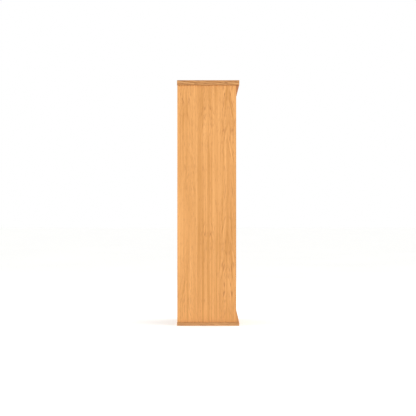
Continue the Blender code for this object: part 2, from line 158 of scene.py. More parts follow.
def oak_print(
    name, grain, across, light, middle, dark, pore,
    roughness=0.42, shift=0.0, figure=1.0, seed=3.0, handled=None,
):
    """Printed oak under satin melamine: straight grain with a pointed cathedral figure up the heart of each
    veneer leaf, broad light and dark streaks, and short dark pores. grain is the axis that the grain runs
    along, across the two that are counted across it, figure how strongly the cathedrals show, and handled
    the height at which fingers have darkened and polished the middle of the face."""
    made, tree, shader, place = new_material(name, ior=1.5)
    split = add_node(tree, "ShaderNodeSeparateXYZ", {}, [("Vector", place, "Object")])
    along = (split, grain)

    def sum_up(operation, first, second=None, third=None):
        """A Math node whose terms are numbers or (node, output) pairs."""
        settings, links = {"operation": operation}, []
        for i, term in enumerate((first, second, third)):
            if isinstance(term, tuple):
                links.append((i, *term))
            elif term is not None:
                settings[i] = term
        return add_node(tree, "ShaderNodeMath", settings, links), "Value"

    def times(first, second):
        return sum_up("MULTIPLY", first, second)

    def noise(detail, rough, *terms):
        """Noise at a point whose three parts are numbers or (node, output) pairs."""
        point = add_node(tree, "ShaderNodeCombineXYZ", {})
        for i, term in enumerate(terms):
            if isinstance(term, tuple):
                tree.links.new(term[0].outputs[term[1]], point.inputs[i])
            else:
                point.inputs[i].default_value = term
        settings = {"Scale": 1.0, "Detail": detail, "Roughness": rough}
        return add_node(tree, "ShaderNodeTexNoise", settings, [("Vector", point, "Vector")]), "Fac"

    def rescale(value, low, high, to_low, to_high):
        settings = {"From Min": low, "From Max": high, "To Min": to_low, "To Max": to_high}
        return add_node(tree, "ShaderNodeMapRange", settings, [("Value", *value)]), "Result"

    breadth = sum_up("ADD", (split, across[0]), (split, across[1]))
    counted = sum_up("MULTIPLY_ADD", breadth, 1 / OAK_LEAF, shift)
    leaf = sum_up("ROUND", counted)
    leaf_seed = times(leaf, LEAF_SEED)
    from_heart = times(sum_up("SUBTRACT", counted, leaf), OAK_LEAF)

    # The heart wanders from side to side up the leaf. The rings are pointed arches nested up the heart. Their
    # arms straighten into parallel lines towards the leaf's edges, and they fade out over stretches of it.
    sway = noise(2.0, 0.5, times(along, 1.7), leaf_seed, 0.5)
    swayed = sum_up("MULTIPLY_ADD", sum_up("SUBTRACT", sway, 0.5), OAK_SWAY, from_heart)
    reach = times(swayed, 1 / OAK_RING)
    arch = sum_up("SQRT", sum_up("MULTIPLY_ADD", reach, reach, 0.6))
    climb = sum_up("MULTIPLY_ADD", along, 1 / OAK_PEAK, leaf_seed)
    wobble = noise(2.0, 0.55, times(breadth, 24.0), times(along, 3.2), leaf_seed)
    ring = sum_up("MULTIPLY_ADD", wobble, 1.8, sum_up("ADD", arch, climb))
    arms = times(rescale(arch, 0.9, 1.8, 0.25, 1.0), rescale(arch, 2.2, 5.5, 1.0, 0.25))
    stretch = noise(1.0, 0.5, times(along, 2.3), leaf_seed, 9.5)
    arms = times(arms, rescale(stretch, 0.40, 0.62, 0.15, figure))

    rings = noise(2.0, 0.55, times(ring, 1.3), times(along, 1.5), leaf_seed)
    streaks = noise(4.0, 0.6, times(breadth, 1 / OAK_STREAK), times(along, 0.45), seed)
    lines = noise(1.0, 0.6, times(breadth, 1 / OAK_LINE), times(along, 1.1), seed)
    leaf_tone = noise(0.0, 0.5, times(leaf, 1.7), 4.4, 2.2)
    cloud = noise(2.0, 0.5, times(breadth, 9.0), times(along, 2.4), 8.0)
    tone = times(sum_up("SUBTRACT", rings, 0.5), times(arms, RING_TONE))
    for part, weight in (
        (streaks, STREAK_TONE), (lines, LINE_TONE), (leaf_tone, LEAF_TONE), (cloud, CLOUD_TONE)
    ):
        tone = sum_up("MULTIPLY_ADD", sum_up("SUBTRACT", part, 0.5), weight, tone)
    stops = ((0.24, dark), (0.5, middle), (0.76, light))
    ramp = colour_by_ramp(tree, *sum_up("ADD", tone, 0.5), stops)

    # Open pores show as short dark dashes all over, and crowd together along the arms of the cathedrals.
    pore_across = times(swayed, 1 / OAK_PORE)
    dashes = noise(1.0, 0.5, pore_across, times(along, 1 / OAK_PORE_LENGTH), 1.5)
    crowd = noise(1.0, 0.5, times(ring, 1.8), times(along, 1 / OAK_CROWD_LENGTH), leaf_seed)
    crowd_mask = times(rescale(crowd, 0.54, 0.70, 0.0, 0.85), arms)
    marks = sum_up("MAXIMUM", rescale(dashes, 0.60, 0.76, 0.0, 0.5), crowd_mask)
    darkened = {"data_type": "RGBA", 7: pore}
    colour = add_node(tree, "ShaderNodeMix", darkened, [("Factor", *marks), (6, ramp, "Color")])

    # Hands leave the melamine glossier in soft patches, and the print's pores are pressed in slightly.
    sheen = rescale((noise_in(tree, place, 5.0, 3.0), "Fac"), 0.3, 0.7, roughness - 0.07, roughness + 0.07)
    if handled is not None:
        drop = sum_up("SUBTRACT", along, handled)
        far = sum_up("SQRT", sum_up("MULTIPLY_ADD", drop, drop, times((split, X), (split, X))))
        blur = noise(3.0, 0.6, times((split, X), 26.0), times(along, 26.0), 4.0)
        touched = times(rescale(far, 0.035, 0.135, 1.0, 0.0), rescale(blur, 0.35, 0.6, 0.4, 1.0))
        stain = times(touched, 0.30)
        colour = add_node(tree, "ShaderNodeMix", darkened, [("Factor", *stain), (6, colour, 2)])
        sheen = sum_up("MULTIPLY_ADD", touched, -0.12, sheen)
    tree.links.new(colour.outputs[2], shader.inputs["Base Color"])
    tree.links.new(sheen[0].outputs[sheen[1]], shader.inputs["Roughness"])
    press_in(tree, shader, *sum_up("SUBTRACT", times(tone, 0.4), marks), 0.35, 0.0004)
    return made


def chipboard(name):
    """Bare particle board: pale tan, with darker and lighter chips a few millimetres long, coarse and dry."""
    made, tree, shader, place = new_material(name, roughness=0.9, ior=1.45)
    settings = {"Scale": 260.0, "Randomness": 1.0}
    chips = add_node(tree, "ShaderNodeTexVoronoi", settings, [("Vector", place, "Object")])
    clumps = noise_in(tree, place, 90.0, 4.0)
    halves = {"data_type": "RGBA", "Factor": 0.5}
    tone = add_node(tree, "ShaderNodeMix", halves, [(6, chips, "Color"), (7, clumps, "Fac")])
    ramp = colour_by_ramp(tree, tone, 2, ((0.30, "#9C7448"), (0.72, "#DDBE90")))
    tree.links.new(ramp.outputs["Color"], shader.inputs["Base Color"])
    press_in(tree, shader, clumps, "Fac", 0.6, 0.0008)
    return made


HONEY_OAK = {"light": "#F4B26A", "middle": "#E6A45D", "dark": "#D39249", "pore": "#B4743A"}
upright_oak = oak_print("oak_laminate_upright", Z, (X, Y), shift=0.467, **HONEY_OAK)
BAND_OAK = {"light": "#F0B472", "middle": "#DC9C5B", "dark": "#C58449", "pore": "#A2652F"}
upright_band = oak_print("oak_edge_band_upright", Z, (X, Y), roughness=0.36, figure=0.3, **BAND_OAK)
raw_board = chipboard("particle_board")


def swept_solid(shape, faces, sweep):
    """Sweeps flat faces along a vector into a closed solid."""
    swept = bmesh.ops.extrude_face_region(shape, geom=faces)
    moved = [item for item in swept["geom"] if isinstance(item, bmesh.types.BMVert)]
    bmesh.ops.translate(shape, verts=moved, vec=sweep)
    shape.normal_update()
    bmesh.ops.recalc_face_normals(shape, faces=shape.faces)
    return shape


def prism(outline, place, sweep):
    """A closed bmesh: a flat outline, put in place by place(a, b), swept along a vector."""
    made = bmesh.new()
    face = made.faces.new([made.verts.new(place(a, b)) for a, b in outline])
    return swept_solid(made, [face], sweep)


def ease(shape, width, segments=2, least_angle=0.9):
    """Rounds every outer edge that turns by more than least_angle."""
    edges = [e for e in shape.edges if e.calc_face_angle_signed(0.0) > least_angle]
    rounding = {"affect": "EDGES", "profile": 0.5, "clamp_overlap": True}
    bmesh.ops.bevel(shape, geom=edges, offset=width, segments=segments, **rounding)
    return shape


def face_with(shape, finishes, sides):
    """Gives each face the finish for the way it looks. sides maps "-x", "+z" and so on to finishes."""
    shape.normal_update()
    for face in shape.faces:
        axis = max(range(3), key=lambda i: abs(face.normal[i]))
        look = ("+" if face.normal[axis] > 0 else "-") + "xyz"[axis]
        face.material_index = sides.get(look, 0)
    return finishes


def as_object(name, shape, finishes):
    """Turns the bmesh into an object with its finishes."""
    mesh = bpy.data.meshes.new(name)
    shape.to_mesh(mesh)
    shape.free()
    for finish in finishes:
        mesh.materials.append(finish)
    made = bpy.data.objects.new(name, mesh)
    bpy.context.scene.collection.objects.link(made)
    return made


def place_mesh(name, shape, finishes, body, nodes=()):
    """Turns the bmesh into a finished piece."""
    return place_piece(as_object(name, shape, finishes), body, nodes)


def place_piece(made, body, nodes=()):
    """Has the piece ride on its body and stand for the nodes named."""
    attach(made, body)
    if nodes:
        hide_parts(*nodes)
    return made


def box_shape(low, high):
    outline = [(low[0], low[1]), (high[0], low[1]), (high[0], high[1]), (low[0], high[1])]
    return prism(outline, lambda x, y: (x, y, low[2]), (0, 0, high[2] - low[2]))


def soften(mesh, angle=28):
    """Smooth shading that keeps the sharp corners."""
    mesh.shade_smooth()
    mesh.set_sharp_from_angle(angle=math.radians(angle))


def tree_with_inputs(name, inputs):
    """A Geometry Nodes tree with geometry in and out, and the named inputs given with their defaults."""
    tree = bpy.data.node_groups.new(name, "GeometryNodeTree")
    tree.interface.new_socket("Geometry", in_out="INPUT", socket_type="NodeSocketGeometry")
    for label, (kind, value) in inputs.items():
        made = tree.interface.new_socket(label, in_out="INPUT", socket_type="NodeSocket" + kind)
        if value is not None:
            made.default_value = value
    tree.interface.new_socket("Geometry", in_out="OUTPUT", socket_type="NodeSocketGeometry")
    return tree, tree.nodes.new("NodeGroupInput"), tree.nodes.new("NodeGroupOutput")


def stand_on_places(tree, given, result, shape, output="Geometry"):
    """Ends a tree: the shape, made along Z, stands on every point and looks the way the point says."""
    facing, spin = (
        add_node(tree, "GeometryNodeInputNamedAttribute", {"data_type": kind, "Name": name})
        for name, kind in (("facing", "FLOAT_VECTOR"), ("spin", "FLOAT"))
    )
    faced = [("Vector", facing, "Attribute")]
    turned = add_node(tree, "FunctionNodeAlignRotationToVector", {"axis": "Z"}, faced)
    spun = [("Angle", spin, "Attribute")]
    own_spin = add_node(tree, "FunctionNodeAxisAngleToRotation", {"Axis": (0, 0, 1)}, spun)
    both = add_node(
        tree, "FunctionNodeRotateRotation", {"rotation_space": "LOCAL"},
        [("Rotation", turned, "Rotation"), ("Rotate By", own_spin, "Rotation")],
    )
    points = add_node(tree, "GeometryNodeMeshToPoints", {}, [("Mesh", given, "Geometry")])
    stood = add_node(
        tree, "GeometryNodeInstanceOnPoints", {},
        [("Points", points, "Points"), ("Instance", shape, output), ("Rotation", both, "Rotation")],
    )
    real = add_node(tree, "GeometryNodeRealizeInstances", {}, [("Geometry", stood, "Instances")])
    covered = [("Geometry", real, "Geometry"), ("Material", given, "Finish")]
    finished = add_node(tree, "GeometryNodeSetMaterial", {}, covered)
    tree.links.new(finished.outputs["Geometry"], result.inputs["Geometry"])


def keep_result(made, modifier):
    """Makes what the modifier gives the piece's own mesh, and takes the modifier off."""
    bpy.context.view_layer.update()
    result = made.evaluated_get(bpy.context.evaluated_depsgraph_get())
    mesh = bpy.data.meshes.new_from_object(result)
    made.modifiers.remove(modifier)
    made.data = mesh


def grow(name, tree, places, **values):
    """A plain mesh of what the tree puts at the places, each a point, the way it faces and its own turn."""
    seeds = bpy.data.meshes.new(name + "_places")
    seeds.from_pydata([place for place, _, _ in places], [], [])
    facing = seeds.attributes.new("facing", "FLOAT_VECTOR", "POINT")
    facing.data.foreach_set("vector", [part for _, way, _ in places for part in way])
    spin = seeds.attributes.new("spin", "FLOAT", "POINT")
    spin.data.foreach_set("value", [angle for _, _, angle in places])
    made = bpy.data.objects.new(name, seeds)
    bpy.context.scene.collection.objects.link(made)
    modifier = made.modifiers.new(name, "NODES")
    modifier.node_group = tree
    for item in tree.interface.items_tree:
        label = item.name.lower().replace(" ", "_")
        if item.in_out == "INPUT" and label in values:
            modifier[item.identifier] = values[label]
    keep_result(made, modifier)
    soften(made.data)
    return made


def raised(tree, shape, given, height):
    """The shape lifted by one of the tree's inputs."""
    level = add_node(tree, "ShaderNodeCombineXYZ", {}, [(Z, given, height)])
    moved = [("Geometry", shape, "Mesh"), ("Translation", level, "Vector")]
    return add_node(tree, "GeometryNodeTransform", {}, moved)


def turned_tree(name, sizes, profile, sides=16, cross=None):
    """A tree that stands a turned shape on every place. sizes are its inputs, and profile names each ring's
    radius and height from the bottom up. cross names the length, width and depth of a cross in its top."""
    sizes = {label: ("Float", size) for label, size in {**sizes, "Axis": 0.0}.items()}
    tree, given, result = tree_with_inputs(name, {**sizes, "Finish": ("Material", None)})
    rings = add_node(tree, "GeometryNodeJoinGeometry", {})
    for (radius, height), (next_radius, next_height) in zip(profile, profile[1:]):
        ends = [(0, given, next_height), (1, given, height)]
        depth = add_node(tree, "ShaderNodeMath", {"operation": "SUBTRACT"}, ends)
        cone = add_node(
            tree, "GeometryNodeMeshCone", {"fill_type": "NONE", "Vertices": sides},
            [("Radius Bottom", given, radius), ("Radius Top", given, next_radius), ("Depth", depth, "Value")],
        )
        ring = raised(tree, cone, given, height)
        tree.links.new(ring.outputs["Geometry"], rings.inputs["Geometry"])
    joined = [("Geometry", rings, "Geometry")]
    shape = add_node(tree, "GeometryNodeMergeByDistance", {"Distance": 1e-6}, joined)
    output = "Geometry"
    if cross:
        length, width, depth = cross
        # The two cuts' floors must not lie in one plane.
        for along, over, share in ((X, Y, 2.0), (Y, X, 2.15)):
            twice = add_node(tree, "ShaderNodeMath", {"operation": "MULTIPLY", 1: share}, [(0, given, depth)])
            edges = [(along, given, length), (over, given, width), (Z, twice, "Value")]
            size = add_node(tree, "ShaderNodeCombineXYZ", {}, edges)
            bar = add_node(tree, "GeometryNodeMeshCube", {}, [("Size", size, "Vector")])
            cutter = raised(tree, bar, given, profile[-1][1])
            taken = [("Mesh 1", shape, output), ("Mesh 2", cutter, "Geometry")]
            shape = add_node(tree, "GeometryNodeMeshBoolean", {"operation": "DIFFERENCE"}, taken)
            output = "Mesh"
    stand_on_places(tree, given, result, shape, output)
    return tree


drill_sizes = {"Radius": HOLE_RADIUS, "Bottom": -HOLE_DEPTH, "Mouth": HOLE_RADIUS * 1.15, "Top": HOLE_DEPTH}
drill_tree = turned_tree(
    "drilled_holes", drill_sizes,
    [("Axis", "Bottom"), ("Radius", "Bottom"), ("Radius", "Axis"), ("Mouth", "Top"), ("Axis", "Top")],
    ROUND_SIDES,
)

door_low, door_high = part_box("left_door")
back_low, back_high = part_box("lower_back_panel")


def drilled(made, cutter):
    """The piece with the cutter's shape taken out of it, and the cutter's finish inside the cut."""
    modifier = made.modifiers.new("drilled", "BOOLEAN")
    modifier.object = cutter
    modifier.material_mode = "TRANSFER"
    keep_result(made, modifier)
    bpy.data.objects.remove(cutter)


for side, hand in HANDS:
    low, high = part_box(f"{hand}_side_panel")
    outer, inner = (low.x, high.x) if side < 0 else (high.x, low.x)
    floor_of_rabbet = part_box("middle_shelf")[1].y
    rabbet = back_low.x if side < 0 else back_high.x
    rabbet += side * (back_low.y - floor_of_rabbet)
    outline = [
        (outer, low.y), (inner, low.y), (inner, floor_of_rabbet), (rabbet, floor_of_rabbet),
        (rabbet, high.y), (outer, high.y),
    ]
    panel = prism(outline, lambda x, y: (x, y, low.z), (0, 0, high.z - low.z))
    ease(panel, EDGE_EASE)
    edges = {"-y": 1, "+y": 2, "+z": 2, "-z": 2}
    finishes = face_with(panel, [upright_oak, upright_band, raw_board], edges)
    made = place_mesh(f"{hand}_side", panel, finishes, "cabinet", [f"{hand}_side_panel"])
    holes = []
    for i in range(1, 5):
        for end in ("front", "rear"):
            pin_low, pin_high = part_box(f"shelf_pin_{i}_{hand}_{end}")
            middle = (pin_low + pin_high) / 2
            for step in range(-HOLES_EACH_WAY, HOLES_EACH_WAY + 1):
                holes.append(((inner, middle.y, middle.z + step * HOLE_PITCH), (-side, 0, 0), 0.0))
    drilled(made, grow("drill", drill_tree, holes, finish=raw_board))

# ------------------------------------------------------------ shelves
# The same faced board with the grain running from side to side. Only the front edge is banded. The floor and
# the middle shelf are fixed to the sides, and the other four lie loose on pins.

lengthways_oak = oak_print("oak_laminate_lengthways", X, (Y, Z), shift=0.2, **HONEY_OAK)
lengthways_band = oak_print("oak_edge_band_lengthways", X, (Y, Z), roughness=0.36, figure=0.3, **BAND_OAK)

for node in ["floor_shelf", "middle_shelf"] + [f"adjustable_shelf_{i}" for i in range(1, 5)]:
    shelf = ease(box_shape(*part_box(node)), EDGE_EASE)
    edges = {"-y": 1, "+y": 2, "-x": 2, "+x": 2}
    finishes = face_with(shelf, [lengthways_oak, lengthways_band, raw_board], edges)
    name = node.replace("_shelf", "_board")
    place_mesh(name, shelf, finishes, "cabinet", [node])

# ------------------------------------------------------------ shelf pins
# Turned steel pins with a bright nickel plate. The peg sits in a hole in the side, a collar stops it and the
# shelf lies on its rounded stub.

pin_sizes = {
    "Peg": 0.0025, "Collar": 0.0045, "Stub": 0.003, "Nose": 0.0022,
    "Peg End": -0.0085, "Collar Start": 0.0003, "Collar End": 0.0013, "Stub End": 0.0081, "Nose End": 0.0088,
}
pin_tree = turned_tree(
    "shelf_pins", pin_sizes,
    [("Axis", "Peg End"), ("Peg", "Peg End"), ("Peg", "Collar Start"), ("Collar", "Collar Start"),
     ("Collar", "Collar End"), ("Stub", "Collar End"), ("Stub", "Stub End"), ("Nose", "Nose End"),
     ("Axis", "Nose End")],
)


def two_tone(tree, shader, cloud, light, dark):
    """Lets a noise run the face from one colour to the other."""
    settings = {"data_type": "RGBA", 6: light, 7: dark}
    colour = add_node(tree, "ShaderNodeMix", settings, [("Factor", cloud, "Fac")])
    tree.links.new(colour.outputs[2], shader.inputs["Base Color"])
    return colour


def roughen(tree, shader, cloud, least, most):
    """Lets a noise vary how rough the face is."""
    settings = {"To Min": least, "To Max": most}
    rough = add_node(tree, "ShaderNodeMapRange", settings, [("Value", cloud, "Fac")])
    tree.links.new(rough.outputs["Result"], shader.inputs["Roughness"])


def plated(name, light, dark, roughness):
    """Plated steel: a metal colour that clouds slightly where it has been handled, and fine rolling marks."""
    made, tree, shader, place = new_material(name, metallic=1.0)
    cloud = noise_in(tree, place, 60.0, 4.0, Roughness=0.6)
    two_tone(tree, shader, cloud, light, dark)
    roughen(tree, shader, cloud, roughness - 0.08, roughness + 0.12)
    marks = {"Scale": (900.0, 900.0, 60.0)}
    stretch = add_node(tree, "ShaderNodeMapping", marks, [("Vector", place, "Object")])
    settings = {"Scale": 1.0, "Detail": 2.0}
    rolled = add_node(tree, "ShaderNodeTexNoise", settings, [("Vector", stretch, "Vector")])
    press_in(tree, shader, rolled, "Fac", 0.2, 0.0001)
    return made


nickel = plated("nickelled_steel", "#E0DDD6", "#B4B1AA", 0.28)
zinc = plated("zinc_plated_steel", "#C9CCD0", "#8F949A", 0.38)

pin_nodes = [
    f"shelf_pin_{i}_{hand}_{end}"
    for i in range(1, 5) for hand in ("left", "right") for end in ("front", "rear")
]
pins = []
for node in pin_nodes:
    low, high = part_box(node)
    side = math.copysign(1, low.x)
    nose = min(abs(low.x), abs(high.x))
    wall = nose + pin_sizes["Nose End"]
    pins.append(((side * wall, (low.y + high.y) / 2, (low.z + high.z) / 2), (-side, 0, 0), 0.0))
place_piece(grow("shelf_pins", pin_tree, pins, finish=nickel), "cabinet", pin_nodes)

# ------------------------------------------------------------ rails
# The header rail and the toe rail, which hold the sides apart behind the mouldings. Faced board, banded
# below or above where the doors' opening shows the edge.

for node, edge in (("header_rail", "-z"), ("toe_rail", "+z")):
    rail = ease(box_shape(*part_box(node)), EDGE_EASE)
    finishes = face_with(rail, [lengthways_oak, lengthways_band, raw_board], {edge: 1, "-x": 2, "+x": 2})
    place_mesh(node.replace("rail", "board"), rail, finishes, "cabinet", [node])

# ------------------------------------------------------------ back
# Two sheets of 3 mm hardboard, printed oak inside and bare brown behind, laid in the sides' rabbets and
# nailed round their edges with small round-headed nails.

NAIL_SPACING = 0.125
NAIL_INSET = 0.0045
NAIL_HEAD = 0.0022
NAIL_PROUD = 0.0007
NAIL_SIDES = 14
SHEET_EASE = 0.0004


def hardboard(name):
    """Tempered hardboard: pressed dark brown fibre, faintly mottled and hairy, with a dull sheen."""
    made, tree, shader, place = new_material(name, ior=1.48)
    mottle = noise_in(tree, place, 45.0, 6.0, Roughness=0.7)
    fibre = noise_in(tree, place, 240.0, 3.0, Distortion=1.5)
    share = {"data_type": "FLOAT", "Factor": 0.45}
    tone = add_node(tree, "ShaderNodeMix", share, [("A", mottle, "Fac"), ("B", fibre, "Fac")])
    ramp = colour_by_ramp(tree, tone, "Result", ((0.30, "#86603C"), (0.70, "#A37B51")))
    tree.links.new(ramp.outputs["Color"], shader.inputs["Base Color"])
    roughen(tree, shader, mottle, 0.55, 0.8)
    press_in(tree, shader, fibre, "Fac", 0.4, 0.0003)
    return made


brown_board = hardboard("hardboard")

nail_sizes = {"Radius": NAIL_HEAD, "Crown": NAIL_HEAD * 0.55, "Rim": NAIL_PROUD * 0.4, "Top": NAIL_PROUD}
nail_tree = turned_tree(
    "nail_heads", nail_sizes,
    [("Axis", "Axis"), ("Radius", "Axis"), ("Radius", "Rim"), ("Crown", "Top"), ("Axis", "Top")],
    NAIL_SIDES,
)

for node in ("lower_back_panel", "upper_back_panel"):
    low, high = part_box(node)
    sheet = ease(box_shape(low, high), SHEET_EASE, segments=1)
    finishes = face_with(sheet, [brown_board, upright_oak], {"-y": 1})
    name = node.replace("_panel", "_sheet")
    place_mesh(name, sheet, finishes, "cabinet", [node])
    left, right = low.x + NAIL_INSET, high.x - NAIL_INSET
    bottom, top = low.z + 2 * NAIL_INSET, high.z - 2 * NAIL_INSET
    rows = round((top - bottom) / NAIL_SPACING)
    columns = round((right - left) / NAIL_SPACING)
    nails = [(x, bottom + (top - bottom) * i / rows) for i in range(rows + 1) for x in (left, right)]
    nails += [(left + (right - left) * i / columns, z) for i in range(1, columns) for z in (bottom, top)]
    heads = [((x, high.y, z), (0, 1, 0), 0.0) for x, z in nails]
    place_piece(grow(name + "_nails", nail_tree, heads, finish=zinc), "cabinet")

# ------------------------------------------------------------ top and base
# Thick slabs of particle board wrapped in a darker oak print, which stand past the sides at both ends and at
# the front. Their long edges are softly rounded. The print on each end runs from front to back.

SLAB_ROUND = 0.0035
SLAB_PRINTS_BASE_PAINTED_LIGHTER = {
    "top_panel": {"light": "#E2A96B", "middle": "#C88B4E", "dark": "#A0662C", "pore": "#855023"},
    # The base slab wears a lighter copy of the top slab's print: painted light, standing for the light its
    # rounded top edge catches.
    "base_panel": {"light": "#EAB67A", "middle": "#D39B61", "dark": "#B07742", "pore": "#926032"},
}

for node, oak in SLAB_PRINTS_BASE_PAINTED_LIGHTER.items():
    name = node.replace("panel", "slab")
    long_oak = oak_print(f"oak_{name}_lengthways", X, (Y, Z), shift=0.1, **oak)
    end_oak = oak_print(f"oak_{name}_ends", Y, (X, Z), shift=0.31, seed=19.0, **oak)
    slab = ease(box_shape(*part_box(node)), SLAB_ROUND, segments=4)
    finishes = face_with(slab, [long_oak, end_oak], {"-x": 1, "+x": 1})
    place_mesh(name, slab, finishes, "cabinet", [node])

# ------------------------------------------------------------ mouldings
# The crown under the top slab and its twin above the base: one flat-bevelled section of board wrapped in the
# dark print, thick at the slab and thin at the doors, and sawn square. Both mouldings' end caps carry a
# redder print, and the crown's caps are also painted darker: painted shade under the top slab's overhang.

MOULDING_SLOPE = 0.0185  # how much thicker a moulding is at its slab than at the doors
MOULDING_OAK = {"light": "#DFA264", "middle": "#CD8D4F", "dark": "#B3733C", "pore": "#8F5A29"}
moulding_oak = oak_print("oak_moulding", X, (Y, Z), shift=0.6, **MOULDING_OAK)
CAP_PRINTS_AND_CROWN_SHADE = {
    # The crown's cap colours hold painted shade from the top slab above them, over the same redder print as
    # the base's caps.
    "crown_moulding": {"light": "#C27E4A", "middle": "#B06C3E", "dark": "#98582F", "pore": "#7C4722"},
    "base_moulding": {"light": "#E0A466", "middle": "#D39456", "dark": "#B87A3F", "pore": "#9C6432"},
}

for node, thick_up in (("crown_moulding", True), ("base_moulding", False)):
    moulding_cap = oak_print(f"oak_{node}_cap", Z, (X, Y), roughness=0.45, figure=0.3, **CAP_PRINTS_AND_CROWN_SHADE[node])
    low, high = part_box(node)
    thin = low.y + MOULDING_SLOPE
    thick_z, thin_z = (high.z, low.z) if thick_up else (low.z, high.z)
    outline = [(high.y, thick_z), (low.y, thick_z), (thin, thin_z), (high.y, thin_z)]
    bar = prism(outline, lambda y, z: (low.x, y, z), (high.x - low.x, 0, 0))
    ease(bar, EDGE_EASE)
    finishes = face_with(bar, [moulding_oak, moulding_cap], {"-x": 1, "+x": 1})
    place_mesh(node.replace("_moulding", "_bar"), bar, finishes, "cabinet", [node])

# ------------------------------------------------------------ doors
# Two flat doors of faced board, banded all round, with the grain upright. A finger notch is cut out of each
# free edge, so that the pair makes an almond-shaped hole to pull the doors open by.

NOTCH_STEPS = 28
NOTCH_HALF = 0.055  # half its height
NOTCH_DEPTH = 0.022  # into each door
DOOR_EASE = 0.0009

openings = {opening["name"]: opening["box_m"] for opening in frame["record"]["physics"]["openings"]}
notch_low, notch_high = openings["finger_notch"]
notch_z = (notch_low[2] + notch_high[2]) / 2
door_oak = oak_print("oak_laminate_doors", Z, (X, Y), shift=0.467, handled=notch_z, **HONEY_OAK)

for side, hand in HANDS:
    low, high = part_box(f"{hand}_door")
    hinged, free = (low.x, high.x) if side < 0 else (high.x, low.x)
    radius = (NOTCH_HALF**2 + NOTCH_DEPTH**2) / (2 * NOTCH_DEPTH)
    centre = abs(free) + NOTCH_DEPTH - radius
    reach = math.asin(NOTCH_HALF / radius)
    arc = []
    for i in range(NOTCH_STEPS + 1):
        angle = reach * (2 * i / NOTCH_STEPS - 1)
        arc.append((side * (centre + radius * math.cos(angle)), notch_z + radius * math.sin(angle)))
    outline = [(hinged, high.z), (hinged, low.z), (free, low.z), *arc, (free, high.z)]
    panel = prism(outline, lambda x, z: (x, low.y, z), (0, high.y - low.y, 0))
    ease(panel, DOOR_EASE, segments=3, least_angle=1.2)
    finishes = face_with(panel, [door_oak, upright_band], {"-x": 1, "+x": 1, "-z": 1, "+z": 1})
    place_mesh(f"{hand}_door_panel", panel, finishes, f"{hand}_door", [f"{hand}_door"])

# ------------------------------------------------------------ hinges
# Butt hinges of 1 mm steel in antique brass, three to a door. One leaf is screwed flat to the side, the
# other wraps round the door's edge on to its back, and five curled knuckles turn on a pin with a head at
# each end.

HINGE_GAUGE = 0.001
SIDE_LEAF_OFF = 0.0004  # from the side's inner face
DOOR_LEAF_OFF = 0.0017
LEAF_SETBACK = 0.00045  # behind the doors' front faces
LEAF_CORNER = 0.005
HINGE_BEND = 0.0008  # outside the bend of a door plate
METAL_EASE = 0.0002
KNUCKLES = 5
KNUCKLE_GAP = 0.0004
KNUCKLE_STEPS = 26
BARREL = 0.003  # a knuckle's radius
BORE = 0.0016
BORE_SIDES = 16
HALF_HINGE = 0.0323
PIN_RIM = 0.0006  # half the thickness of a pin's head
SCREW_HEAD = 0.0031
# Places of the screws: in from the side plate's rear edge, or out from the side for the door plate, and up.
# Each screw's cross has come to rest at an angle of its own.
SIDE_SCREWS = ((0.0055, -0.022), (0.0105, 0.0), (0.0055, 0.022))
DOOR_SCREWS = ((0.0125, -0.021), (0.0215, 0.0), (0.0125, 0.021))

brass = plated("antique_brass", "#A8834A", "#6B4F2A", 0.36)
screw_brass = plated("brassed_steel", "#B08C52", "#7C5E34", 0.32)

SCREW_RINGS = [("Axis", "Bottom"), ("Shank", "Bottom"), ("Head", "Rim"), ("Crown", "Top"), ("Axis", "Top")]
screw_sizes = {
    "Bottom": -0.0011, "Rim": 0.00002, "Top": 0.0001, "Shank": 0.0017, "Head": SCREW_HEAD, "Crown": 0.0028,
    "Cross": 0.0036, "Slot": 0.0007, "Sunk": 0.0007,
}
screw_tree = turned_tree("cross_head_screws", screw_sizes, SCREW_RINGS, cross=("Cross", "Slot", "Sunk"))
seat_sizes = {"Bottom": -0.004, "Seat": -0.0011, "Top": 0.0004, "Hole": 0.0019, "Mouth": SCREW_HEAD + 0.0007}
seat_tree = turned_tree(
    "screw_seats", seat_sizes,
    [("Axis", "Bottom"), ("Hole", "Bottom"), ("Hole", "Seat"), ("Mouth", "Top"), ("Axis", "Top")],
)
hinge_pin_sizes = {
    "Pin": 0.0013, "Head": 0.0023, "Crown": 0.0015,
    "Foot": -HALF_HINGE - 2 * PIN_RIM, "Foot Rim": -HALF_HINGE - PIN_RIM, "Foot Top": -HALF_HINGE,
    "Neck": HALF_HINGE, "Rim": HALF_HINGE + PIN_RIM, "Top": HALF_HINGE + 2 * PIN_RIM,
}
hinge_pin_tree = turned_tree(
    "hinge_pins", hinge_pin_sizes,
    [("Axis", "Foot"), ("Crown", "Foot"), ("Head", "Foot Rim"), ("Head", "Foot Top"), ("Pin", "Foot Top"),
     ("Pin", "Neck"), ("Head", "Neck"), ("Head", "Rim"), ("Crown", "Top"), ("Axis", "Top")],
)


